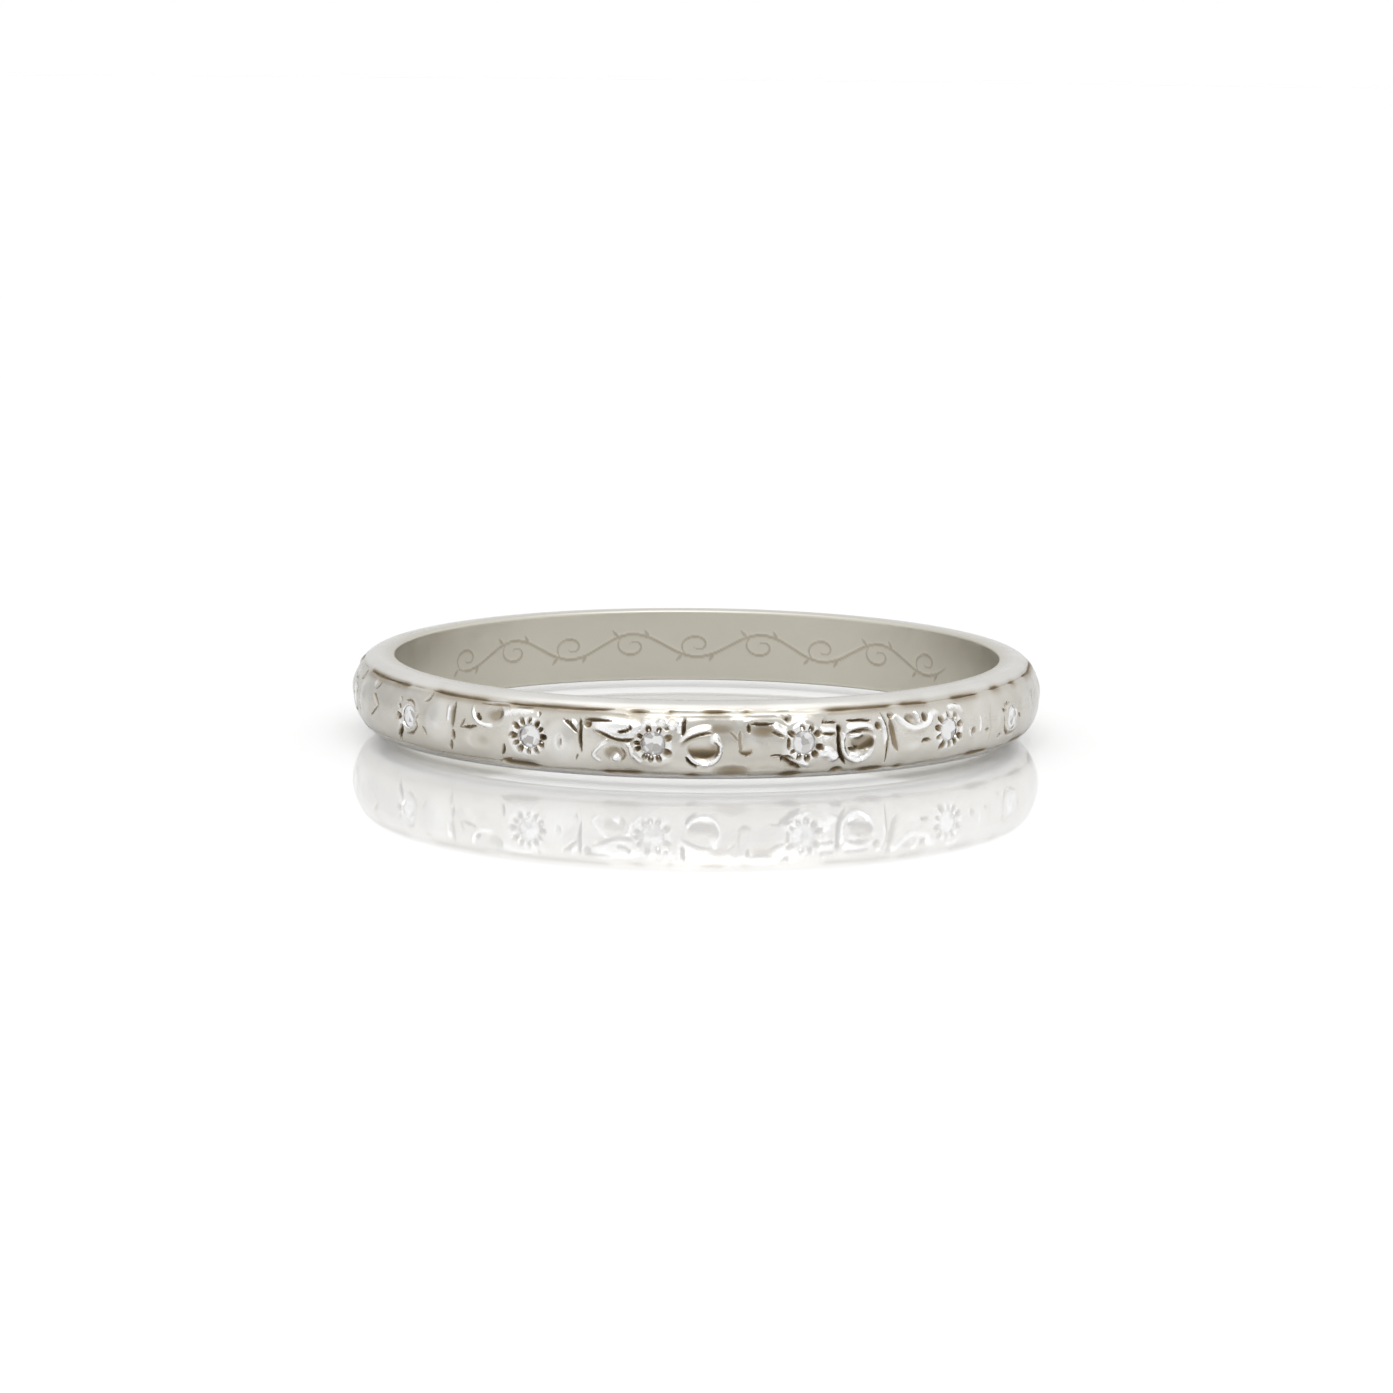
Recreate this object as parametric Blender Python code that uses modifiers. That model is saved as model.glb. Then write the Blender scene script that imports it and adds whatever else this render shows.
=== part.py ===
"""A half-round wedding band, engraved in panels, with one single-cut diamond set in each panel.

The band lies flat: its bore runs along Z and the frame's origin is the middle of the bore, halfway
across the width. An angle of 0 is the front, towards -Y, and angles grow towards +X.
"""

import math

import bmesh
import bpy
from mathutils import Vector

MM = 0.001
MERGE = 1e-8

# Band: a finger size of 16.9 mm inside, in a half-round section with narrow flat edges.
BORE_RADIUS = 8.45 * MM
CROWN_RADIUS = 9.60 * MM
HALF_WIDTH = 1.035 * MM
SHOULDER_RADIUS = 8.90 * MM
INNER_ROUNDING = 0.08 * MM
BAND_STEPS = 84
DOME_STEPS = 12
CORNER_STEPS = 2
SMOOTH_ANGLE = math.radians(18)

# Engraving: a line along each shoulder, a cut between panels, and scooped petals beside each stone.
LINE_ANGLE = math.radians(54.5)
LINE_HALF_ANGLE = math.radians(2.2)
LINE_DEPTH = 0.04 * MM
DIVIDER_REACH = math.radians(40)
DIVIDER_RADIUS = 0.06 * MM
DIVIDER_POINTS = 7
PETAL_DEPTH = 0.07 * MM
PETAL_HALF_HEIGHT = 0.38 * MM
PETAL_THICKNESS = 0.20 * MM
PETAL_GAP = 0.10 * MM
PETAL_SEGMENTS = 14
PETAL_RINGS = 8
LEAF_HEIGHT = -0.10 * MM

# Each panel: the angle where it begins and the angle of its stone, in degrees, and how far the stone
# sits above the middle of the band, in millimetres. The layout was stepped out by eye.
PANELS = (
    (-68, -54.6, 0.04),
    (-43.2, -27.6, 0.0),
    (-18.8, -6.8, 0.0),
    (7, 17.4, 0.01),
    (32.5, 45.5, 0.01),
    (57, 64.8, -0.06),
    (81, 94, 0.03),
    (107, 120, -0.02),
    (134, 147, 0.04),
    (160, 173, 0.0),
    (187, 199, -0.04),
    (213, 226, 0.03),
    (239, 253, 0.0),
    (266, 279, 0.05),
)

# Single-cut diamond: a table, eight crown facets, a round girdle, eight pavilion facets and a culet.
STONE_RADIUS = 0.43 * MM
TABLE_SHARE = 0.58
CROWN_ANGLE = math.radians(30)
PAVILION_ANGLE = math.radians(41)
GIRDLE = 0.03 * MM
CULET_SHARE = 0.06
FACETS = 8
STONE_SEGMENTS = 32
GIRDLE_LEVEL = CROWN_RADIUS - 0.15 * MM

# Seat: a blind hole that follows the stone, with a lip of metal worked over the edge of the crown.
CLEARANCE = 0.02 * MM
MOUTH_RADIUS = 0.36 * MM
SEAT_SEGMENTS = 20
ABOVE_SURFACE = 0.5 * MM

COLLAR_RADIUS = 0.58 * MM


def clear_scene():
    """Removes every object of the open scene."""
    for obj in list(bpy.data.objects):
        bpy.data.objects.remove(obj)


def new_collection(name):
    """A collection of that name, linked to the scene."""
    collection = bpy.data.collections.new(name)
    bpy.context.scene.collection.children.link(collection)
    return collection


def new_material(name, colour, metallic, roughness, transmission=0.0, ior=1.5):
    """A Principled material."""
    material = bpy.data.materials.new(name)
    material.use_nodes = True
    shader = material.node_tree.nodes["Principled BSDF"]
    shader.inputs["Base Color"].default_value = (*colour, 1.0)
    shader.inputs["Metallic"].default_value = metallic
    shader.inputs["Roughness"].default_value = roughness
    shader.inputs["Transmission Weight"].default_value = transmission
    shader.inputs["IOR"].default_value = ior
    return material


def new_object(name, mesh, collection, material=None):
    """An object that shows mesh, in a collection."""
    obj = bpy.data.objects.new(name, mesh)
    collection.objects.link(obj)
    if material and not mesh.materials:
        mesh.materials.append(material)
    return obj


def mesh_of(name, bm):
    """A mesh made from bm, which is freed."""
    mesh = bpy.data.meshes.new(name)
    bm.to_mesh(mesh)
    bm.free()
    return mesh


def turned(name, profile, steps, collection, closed):
    """An object whose profile, points of (radius, height), is turned about its Z axis by a Screw."""
    bm = bmesh.new()
    corners = [bm.verts.new((radius, 0.0, height)) for radius, height in profile]
    for start, end in zip(corners, corners[1:]):
        bm.edges.new((start, end))
    if closed:
        bm.edges.new((corners[-1], corners[0]))
    obj = new_object(name, mesh_of(name, bm), collection)
    screw = obj.modifiers.new("turn", "SCREW")
    screw.steps = steps
    screw.render_steps = steps
    screw.use_merge_vertices = True
    screw.merge_threshold = MERGE
    screw.use_smooth_shade = False
    return obj


def dome_point(angle, depth=0.0):
    """(radius, height) on the outer dome, where angle is 0 on the crown and 90 degrees at the edge."""
    radius = SHOULDER_RADIUS + (CROWN_RADIUS - SHOULDER_RADIUS - depth) * math.cos(angle)
    return radius, (HALF_WIDTH - depth) * math.sin(angle)


def on_band(angle, radius, height=0.0):
    """The point at an angle round the band, at a radius and a height."""
    return Vector((radius * math.sin(angle), -radius * math.cos(angle), height))


def face_outwards(obj, angle, radius, height=0.0):
    """Places obj on the band with its own +Z pointing away from the bore."""
    obj.location = on_band(angle, radius, height)
    obj.rotation_euler = (math.pi / 2, 0.0, angle)


def band_profile():
    """The section of the band, down the dome and back up the bore."""
    outer = []
    for step in range(DOME_STEPS + 1):
        angle = math.pi / 2 - math.pi * step / DOME_STEPS
        outer.append((angle, 0.0))
    for side in (1, -1):
        line = side * LINE_ANGLE
        outer.append((line + LINE_HALF_ANGLE, 0.0))
        outer.append((line, LINE_DEPTH))
        outer.append((line - LINE_HALF_ANGLE, 0.0))
    outer.sort(reverse=True)
    points = [dome_point(angle, depth) for angle, depth in outer]
    corner = []
    for step in range(CORNER_STEPS + 1):
        turn = math.pi / 2 * step / CORNER_STEPS
        radius = BORE_RADIUS + INNER_ROUNDING * (1 - math.sin(turn))
        corner.append((radius, HALF_WIDTH - INNER_ROUNDING * (1 - math.cos(turn))))
    lower = [(radius, -height) for radius, height in corner]
    return points + lower + corner[::-1]


def stone_mesh():
    """A round blank, ground to its facets one plane at a time. Its Z axis points up through the table
    and its girdle's upper edge lies at height 0."""
    bm = bmesh.new()
    bmesh.ops.create_cone(
        bm,
        cap_ends=True,
        segments=STONE_SEGMENTS,
        radius1=STONE_RADIUS,
        radius2=STONE_RADIUS,
        depth=2 * STONE_RADIUS,
    )
    table_height = STONE_RADIUS * (1 - TABLE_SHARE) * math.tan(CROWN_ANGLE)
    depth = STONE_RADIUS * (1 - CULET_SHARE) * math.tan(PAVILION_ANGLE)
    grind(bm, Vector((0, 0, 1)), Vector((0, 0, table_height)))
    grind(bm, Vector((0, 0, -1)), Vector((0, 0, -GIRDLE - depth)))
    for facet in range(FACETS):
        azimuth = 2 * math.pi * (facet + 0.5) / FACETS
        across = Vector((math.cos(azimuth), math.sin(azimuth), 0))
        for slope, up, level in ((CROWN_ANGLE, 1, 0.0), (PAVILION_ANGLE, -1, -GIRDLE)):
            normal = across * math.sin(slope) + Vector((0, 0, up * math.cos(slope)))
            grind(bm, normal, across * STONE_RADIUS + Vector((0, 0, level)))
    bmesh.ops.recalc_face_normals(bm, faces=bm.faces)
    return mesh_of("single_cut_diamond", bm)


def grind(bm, normal, point):
    """Grinds away what lies beyond the plane through point, and closes the facet that it leaves."""
    everything = bm.verts[:] + bm.edges[:] + bm.faces[:]
    cut = bmesh.ops.bisect_plane(
        bm, geom=everything, dist=MERGE, plane_co=point, plane_no=normal, clear_outer=True
    )
    rim = [item for item in cut["geom_cut"] if isinstance(item, bmesh.types.BMEdge)]
    bmesh.ops.holes_fill(bm, edges=rim)


def seat_profile():
    """The seat cutter's profile: the stone's corners with clearance, and a narrower mouth above."""
    corner = 1 / math.cos(math.pi / FACETS)

    def lip_height(radius):
        return (STONE_RADIUS - radius / corner) * math.tan(CROWN_ANGLE) + CLEARANCE

    side = STONE_RADIUS + CLEARANCE
    drop = (STONE_RADIUS - side / corner) * math.tan(PAVILION_ANGLE)
    depth = STONE_RADIUS * math.tan(PAVILION_ANGLE)
    culet = STONE_RADIUS * CULET_SHARE
    return (
        (0.0, ABOVE_SURFACE),
        (MOUTH_RADIUS, ABOVE_SURFACE),
        (MOUTH_RADIUS, lip_height(MOUTH_RADIUS)),
        (side, lip_height(side)),
        (side, -GIRDLE - drop - 2 * CLEARANCE),
        (culet + CLEARANCE, -GIRDLE - depth - CLEARANCE),
        (0.0, -GIRDLE - depth - CLEARANCE),
    )


def petal_cutter(name, start, end, height, collection):
    """An ellipsoid that scoops a petal out of the dome between two angles."""
    half_length = (end - start) / 2 * CROWN_RADIUS
    middle = (start + end) / 2
    surface, _ = dome_point(math.asin(height / HALF_WIDTH))
    bm = bmesh.new()
    bmesh.ops.create_uvsphere(bm, u_segments=PETAL_SEGMENTS, v_segments=PETAL_RINGS, radius=1.0)
    bmesh.ops.scale(bm, vec=(half_length, PETAL_HALF_HEIGHT, PETAL_THICKNESS), verts=bm.verts)
    cutter = new_object(name, mesh_of(name, bm), collection)
    face_outwards(cutter, middle, surface + PETAL_THICKNESS - PETAL_DEPTH, height)


def divider_cutter(name, angle, collection):
    """A four-sided bar that follows the dome across the band, and cuts a V where panels meet."""
    curve = bpy.data.curves.new(name, "CURVE")
    curve.dimensions = "3D"
    curve.bevel_depth = DIVIDER_RADIUS
    curve.bevel_resolution = 0
    curve.use_fill_caps = True
    spline = curve.splines.new("POLY")
    spline.points.add(DIVIDER_POINTS - 1)
    for number, point in enumerate(spline.points):
        share = 2 * number / (DIVIDER_POINTS - 1) - 1
        radius, height = dome_point(share * DIVIDER_REACH)
        lift = DIVIDER_RADIUS * share * share
        point.co = (*on_band(angle, radius + lift, height), 1.0)
    bar = new_object(name + "_path", curve, collection)
    bpy.context.view_layer.update()
    graph = bpy.context.evaluated_depsgraph_get()
    mesh = bpy.data.meshes.new_from_object(bar.evaluated_get(graph))
    bm = bmesh.new()
    bm.from_mesh(mesh)
    bmesh.ops.remove_doubles(bm, verts=bm.verts, dist=MERGE)
    bmesh.ops.recalc_face_normals(bm, faces=bm.faces)
    bm.to_mesh(mesh)
    bm.free()
    cutter = new_object(name, mesh, collection)
    cutter.matrix_world = bar.matrix_world
    bpy.data.objects.remove(bar)


def carve_panels(band, cutters):
    """Cuts every panel's seat, petals and dividing line out of the band."""
    collar = COLLAR_RADIUS / CROWN_RADIUS
    gap = PETAL_GAP / CROWN_RADIUS
    for number, (start, stone, height) in enumerate(PANELS):
        begins, at = math.radians(start), math.radians(stone)
        ends = math.radians(PANELS[(number + 1) % len(PANELS)][0])
        if ends < begins:
            ends += 2 * math.pi
        label = f"{number + 1:02d}"
        seat = turned(f"seat_cutter_{label}", seat_profile(), SEAT_SEGMENTS, cutters, False)
        face_outwards(seat, at, GIRDLE_LEVEL, height * MM)
        petal_cutter(f"leaf_cutter_{label}", begins + gap, at - collar, LEAF_HEIGHT, cutters)
        petal_cutter(f"petal_cutter_{label}", at + collar, ends - gap, 0.0, cutters)
        divider_cutter(f"divider_cutter_{label}", begins, cutters)
    for cutter in cutters.objects:
        cutter.hide_render = True
        cutter.display_type = "WIRE"
    carving = band.modifiers.new("carving", "BOOLEAN")
    carving.operation = "DIFFERENCE"
    carving.operand_type = "COLLECTION"
    carving.collection = cutters
    carving.solver = "EXACT"


def settle(obj):
    """Turns what the modifiers make into the object's own mesh, smooth apart from its real edges."""
    bpy.context.view_layer.update()
    graph = bpy.context.evaluated_depsgraph_get()
    mesh = bpy.data.meshes.new_from_object(obj.evaluated_get(graph))
    obj.modifiers.clear()
    obj.data = mesh
    mesh.shade_smooth()
    mesh.set_sharp_from_angle(angle=SMOOTH_ANGLE)


def main():
    clear_scene()
    ring = new_collection("wedding_band")
    cutters = new_collection("cutters")
    gold = new_material("white_gold", (0.82, 0.80, 0.75), 1.0, 0.22)
    diamond = new_material("diamond", (1.0, 1.0, 1.0), 0.0, 0.0, 1.0, 2.42)

    band = turned("engraved_band", band_profile(), BAND_STEPS, ring, True)
    band.data.materials.append(gold)
    carve_panels(band, cutters)
    settle(band)

    mesh = stone_mesh()
    for number, (_, stone, height) in enumerate(PANELS):
        gem = new_object(f"diamond_{number + 1:02d}", mesh, ring, diamond)
        face_outwards(gem, math.radians(stone), GIRDLE_LEVEL, height * MM)


main()
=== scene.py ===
"""Looks for the engraved wedding band: the hand-cut surface, its metal, its stones and a studio.

The band is one mesh. Its outer face starts as a grid laid round the hoop, and every cut, hollow and
raised petal moves the grid's points in or out. Sizes are in millimetres until the mesh is made.
"""

import math

import bmesh
import bpy
import numpy as np
from mathutils import Matrix, Vector


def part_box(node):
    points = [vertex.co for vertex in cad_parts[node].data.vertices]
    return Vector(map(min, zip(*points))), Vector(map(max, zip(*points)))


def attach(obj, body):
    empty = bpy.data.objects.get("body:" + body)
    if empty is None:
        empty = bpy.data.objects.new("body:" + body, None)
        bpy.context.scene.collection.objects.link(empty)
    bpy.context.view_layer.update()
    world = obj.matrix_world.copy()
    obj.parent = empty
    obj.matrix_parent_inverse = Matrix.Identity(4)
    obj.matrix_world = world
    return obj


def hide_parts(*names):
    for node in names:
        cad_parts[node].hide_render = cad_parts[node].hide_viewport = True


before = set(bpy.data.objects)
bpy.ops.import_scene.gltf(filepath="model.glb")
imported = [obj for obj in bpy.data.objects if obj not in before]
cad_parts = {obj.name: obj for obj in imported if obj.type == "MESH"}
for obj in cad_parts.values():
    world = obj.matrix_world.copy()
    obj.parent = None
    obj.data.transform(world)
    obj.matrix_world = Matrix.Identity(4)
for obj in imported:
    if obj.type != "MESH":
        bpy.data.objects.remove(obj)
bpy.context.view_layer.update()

MM = 0.001
BAND = "engraved_band"
STONES = sorted(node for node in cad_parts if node.startswith("diamond"))

# The band's section, as in the CAD: a half-round outside, flat edges, a bore with eased corners.
BAND_LOW, BAND_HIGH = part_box(BAND)
CROWN = BAND_HIGH[0] / MM
HALF_WIDTH = BAND_HIGH[2] / MM
BORE = 8.45
SHOULDER = 8.90
EASING = 0.08
EASING_POINTS = 4
MM_PER_RADIAN = CROWN
AROUND = 2 * math.pi * MM_PER_RADIAN

# Stones, their seats, and the notches in the collar round each.
STONE_RADIUS = 0.43
GIRDLE = 0.03
GIRDLE_LEVEL = CROWN - 0.15
PAVILION_ANGLE = math.radians(41)
MOUTH = 0.31
SEAT_GAP = 0.015
NOTCH_START = 0.03
NOTCH_DEPTH = 0.085

# The grid: columns round the hoop and rows down the dome, and the block round each stone whose
# square rings are bent to circles.
COLUMNS = 2016
STEP = 0.030
FIELD_ROWS = 31
EDGE_ROWS = 6
MOUTH_RINGS = 11
ROUND_RINGS = 20
BLOCK_RINGS = 27

# The bore's grid shares the outer face's columns. Its scroll fills the back, between these angles.
SCROLL_SECTOR = (118, 242)
BORE_STRIDE = 4
BORE_ROWS = 46
SCROLL_PITCH = 1.9
SCROLL_WAVE = 0.34
SCROLL_GRIME = 0.5

# Wear and painted light: points lower than their surroundings (over this many grid steps) are darkened
# by this much, partly patina and partly painted shade, and those that stand proud are polished and
# take a painted highlight.
WEAR_REACH = 7
PATINA_AND_SHADE = 0.75

# The ring stands on a clear sheet this thick.
CLEAR_SHEET = 0.22

# The engraved field is sunk a little, and ends at a fine line near each edge. No stroke goes past
# the limits, the first of which is above the plain surface.
FIELD_DROP = 0.012
LINE_HEIGHT = 0.83
UPPER_LINE_WIDTH = 0.058
LOWER_LINE_WIDTH = 0.105
LINE_DEPTH = 0.05
RELIEF_LIMITS = (-0.12, 0.24)
# Steps between two given points of a stroke's path, and the share of a raised stroke that tapers.
PATH_STEPS = 6
RAISED_ENDS = 0.3

# The metal: plain, in three shades, then in the bore, then rubbed bright with a painted highlight, and
# under grime and painted shade.
FRESH = (0.68, 0.66, 0.615)
WORN = (0.61, 0.59, 0.54)
BLOTCHED = (0.50, 0.47, 0.41)
BORE_METAL = (0.625, 0.60, 0.53)
# Whiter than the metal itself: the polish is also a painted highlight.
POLISH_AND_HIGHLIGHT = (0.93, 0.93, 0.925)
# Colours of grime, and of the painted shade in hollows and scoops.
STAIN_AND_SHADE = (0.27, 0.21, 0.13)
BLACK_CRUST_AND_SHADOW = (0.055, 0.036, 0.02)
# Grime and painted shade between these amounts turn from a brown stain to near black.
DARKENING_RANGE = (0.95, 1.9)

# The camera: its height above level in degrees, its distance, and a slight tilt and roll.
CAMERA_ELEVATION = 8.81
CAMERA_DISTANCE = 0.1772
CAMERA_LENS = 163.5
CAMERA_TILT = -0.065
CAMERA_ROLL = 0.56


def smooth_step(low, high, value):
    """0 below low, 1 above high, and an S between."""
    share = np.clip((value - low) / (high - low), 0, 1)
    return share * share * (3 - 2 * share)


def smooth_path(points):
    """Points along a Catmull-Rom curve through the given points."""
    points = np.array(points, float)
    if len(points) == 2:
        return points
    ends = np.vstack([2 * points[0] - points[1], points, 2 * points[-1] - points[-2]])
    share = np.linspace(0, 1, PATH_STEPS, endpoint=False)[:, None]
    curve = []
    for before, start, end, after in zip(ends, ends[1:], ends[2:], ends[3:]):
        curve.append(
            start
            + share / 2 * (end - before)
            + share**2 / 2 * (2 * before - 5 * start + 4 * end - after)
            + share**3 / 2 * (3 * start - before - 3 * end + after)
        )
    return np.vstack(curve + [points[-1:]])


class Relief:
    """How far below the plain surface each point lies, and how much grime and painted shade it holds.

    x runs round the band and z up it, from the point that at() sets.
    """

    def __init__(self, x, z):
        self.round_x = x
        self.z = z
        self.depth = np.zeros_like(x)
        self.grime_and_shade = np.zeros_like(x)
        self.shine = np.zeros_like(x)
        self.at(0.0, 0.0)

    def at(self, x, z):
        """Strokes are measured from this point."""
        self.x = (self.round_x - x + AROUND / 2) % AROUND - AROUND / 2
        self.local_z = self.z - z

    def within(self, low, high):
        """The index of each point in a box."""
        across = (self.x > low[0]) & (self.x < high[0])
        return np.flatnonzero(across & (self.local_z > low[1]) & (self.local_z < high[1]))

    def near_path(self, points, reach):
        """Points within reach of a path: their index, signed distance (left is +) and place along it."""
        path = smooth_path(points)
        found = self.within(path.min(0) - reach, path.max(0) + reach)
        here = np.stack([self.x[found], self.local_z[found]], -1)[:, None]
        start, along = path[:-1], np.diff(path, axis=0)
        length = np.linalg.norm(along, axis=1)
        share = np.clip(((here - start) * along).sum(-1) / length**2, 0, 1)
        gap = here - start - share[..., None] * along
        distance = np.linalg.norm(gap, axis=-1)
        nearest = distance.argmin(1)
        pick = np.arange(len(found))
        (along_x, along_z), (gap_x, gap_z) = along[nearest].T, gap[pick, nearest].T
        side = np.sign(along_x * gap_z - along_z * gap_x)
        travelled = np.concatenate([[0], np.cumsum(length)])
        place = (travelled[nearest] + share[pick, nearest] * length[nearest]) / travelled[-1]
        return found, distance[pick, nearest] * np.where(side == 0, 1, side), place

    def cut(self, points, width, depth, lean=0.0, ends=0.25, grime_and_shade=1.0):
        """A rounded cut. lean moves its bottom: at 0.8 the left wall is steep and the right one long."""
        found, gap, place = self.near_path(points, width * (1 + abs(lean)))
        taper = np.clip(np.minimum(place, 1 - place) / ends, 0.05, 1) ** 0.5
        wall = np.where(gap > 0, 1 - lean, 1 + lean) * width * 0.75 * taper
        shape = 0.5 + 0.5 * np.cos(np.pi * np.clip(np.abs(gap) / wall, 0, 1))
        self.depth[found] += depth * taper * shape
        self.grime_and_shade[found] = np.maximum(self.grime_and_shade[found], grime_and_shade * smooth_step(0.25, 0.75, shape))

    def ridge(self, points, width, height, ends=RAISED_ENDS):
        """A raised rounded line."""
        found, gap, place = self.near_path(points, width)
        taper = np.clip(np.minimum(place, 1 - place) / ends, 0, 1) ** 0.5
        shape = np.clip(1 - (gap / (width / 2)) ** 2, 0, 1) ** 1.5
        self.depth[found] -= 1.3 * height * taper * shape
        self.grime_and_shade[found] *= 1 - taper * shape

    def lip(self, points, width, height, grime_and_shade=1.0):
        """A raised edge along a path: it slopes away gently on the left and drops sharply on the right."""
        found, gap, place = self.near_path(points, width)
        taper = np.clip(np.minimum(place, 1 - place) / RAISED_ENDS, 0, 1) ** 0.5
        slope = np.clip(1 - gap / width, 0, 1) ** 1.3
        drop = np.clip(1 + gap / 0.07, 0, 1)
        self.depth[found] -= height * taper * np.where(gap > 0, slope, drop)
        foot = np.exp(-(((gap + 0.075) / 0.04) ** 2)) * taper
        self.depth[found] += 0.05 * foot
        self.grime_and_shade[found] = np.maximum(self.grime_and_shade[found], grime_and_shade * foot)

    def oval(self, centre, radii, turn):
        """Points inside an ellipse, and their share of the way from its centre to its edge, squared."""
        reach = max(radii)
        found = self.within(np.subtract(centre, reach), np.add(centre, reach))
        x = self.x[found] - centre[0]
        z = self.local_z[found] - centre[1]
        cosine, sine = math.cos(math.radians(turn)), math.sin(math.radians(turn))
        share = ((x * cosine + z * sine) / radii[0]) ** 2 + ((z * cosine - x * sine) / radii[1]) ** 2
        inside = share < 1
        return found[inside], share[inside]

    def hollow(self, centre, radii, depth, turn=0, grime_and_shade=0.0):
        """A scooped oval."""
        found, share = self.oval(centre, radii, turn)
        self.depth[found] += 1.3 * depth * (1 - share) ** 1.5
        self.grime_and_shade[found] = np.maximum(self.grime_and_shade[found], grime_and_shade * (1 - share))

    def scoop(self, centre, radii, depth, grime_and_shade, deep=-90):
        """An oval hollow that is deepest at one side, which deep (in degrees) points to, and painted with
        shadow that is darkest there.
        """
        found, share = self.oval(centre, radii, 0)
        x = (self.x[found] - centre[0]) / radii[0]
        z = (self.local_z[found] - centre[1]) / radii[1]
        across = x * math.cos(math.radians(deep)) + z * math.sin(math.radians(deep))
        rim = smooth_step(0.0, 0.3, 1 - share)
        self.depth[found] += depth * rim * smooth_step(-1.0, 0.7, across)
        # Painted shadow, darkest on the deep side.
        self.grime_and_shade[found] = np.maximum(self.grime_and_shade[found], grime_and_shade * rim * smooth_step(-0.3, 0.7, across))

    def stain(self, centre, radii, grime_and_shade):
        """A soft patch of grime on the surface as it is."""
        found, share = self.oval(centre, radii, 0)
        self.grime_and_shade[found] = np.maximum(self.grime_and_shade[found], grime_and_shade * smooth_step(0, 1, 1 - share))

    def swell(self, centre, radii, height, turn=0):
        """A raised oval that blends into its surroundings. Wear has polished the tall ones, which also take
        a painted highlight.
        """
        found, share = self.oval(centre, radii, turn)
        self.depth[found] -= 1.6 * height * (1 - share) ** 2
        shine = smooth_step(0.03, 0.08, height) * smooth_step(0, 0.6, 1 - share)
        self.shine[found] = np.maximum(self.shine[found], shine)


# One function for each panel design, in the order of the front panels from left to right. Places are
# measured from the panel's stone, and each design starts with the divider at its left.


def chevron_panel(r):
    """A chevron beside the divider, and a broad petal past the stone."""
    r.cut([(-2.28, 0.34), (-2.05, 0.2), (-1.80, 0.03)], 0.15, 0.09)
    r.cut([(-1.84, 0.03), (-2.1, -0.12), (-2.41, -0.3)], 0.07, 0.04)
    r.cut([(-1.98, 0.66), (-2.08, 0.55), (-2.22, 0.45)], 0.07, 0.03)
    r.swell((-2.3, 0.6), (0.2, 0.14), 0.02)
    r.swell((-1.2, 0.1), (0.55, 0.6), 0.02)
    r.cut([(0.87, 0.74), (0.80, 0.6), (0.65, 0.49)], 0.08, 0.06)
    r.cut([(0.65, -0.18), (0.79, -0.40)], 0.09, 0.07)
    r.swell((1.31, 0.05), (0.62, 0.66), 0.045)


def chevron_collar(r):
    """Short cuts on the left with one deep slash below, and a crescent on the right."""
    r.cut([(-0.42, 0.38), (-0.56, 0.46)], 0.09, 0.06, grime_and_shade=0.8)
    r.cut([(-0.38, 0.20), (-0.62, 0.27)], 0.10, 0.08, grime_and_shade=1.0)
    r.hollow((-0.52, -0.03), (0.20, 0.11), 0.12, grime_and_shade=1.6)
    r.cut([(-0.28, -0.27), (-0.50, -0.46), (-0.74, -0.68)], 0.14, 0.16, ends=0.12, grime_and_shade=2.2)
    r.cut([(-0.26, 0.42), (0.0, 0.44), (0.32, 0.30)], 0.09, 0.06, grime_and_shade=0.8)
    r.cut([(0.50, 0.16), (0.36, -0.03), (0.41, -0.2), (0.15, -0.42), (-0.15, -0.49)], 0.08, 0.07, grime_and_shade=0.8)


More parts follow.
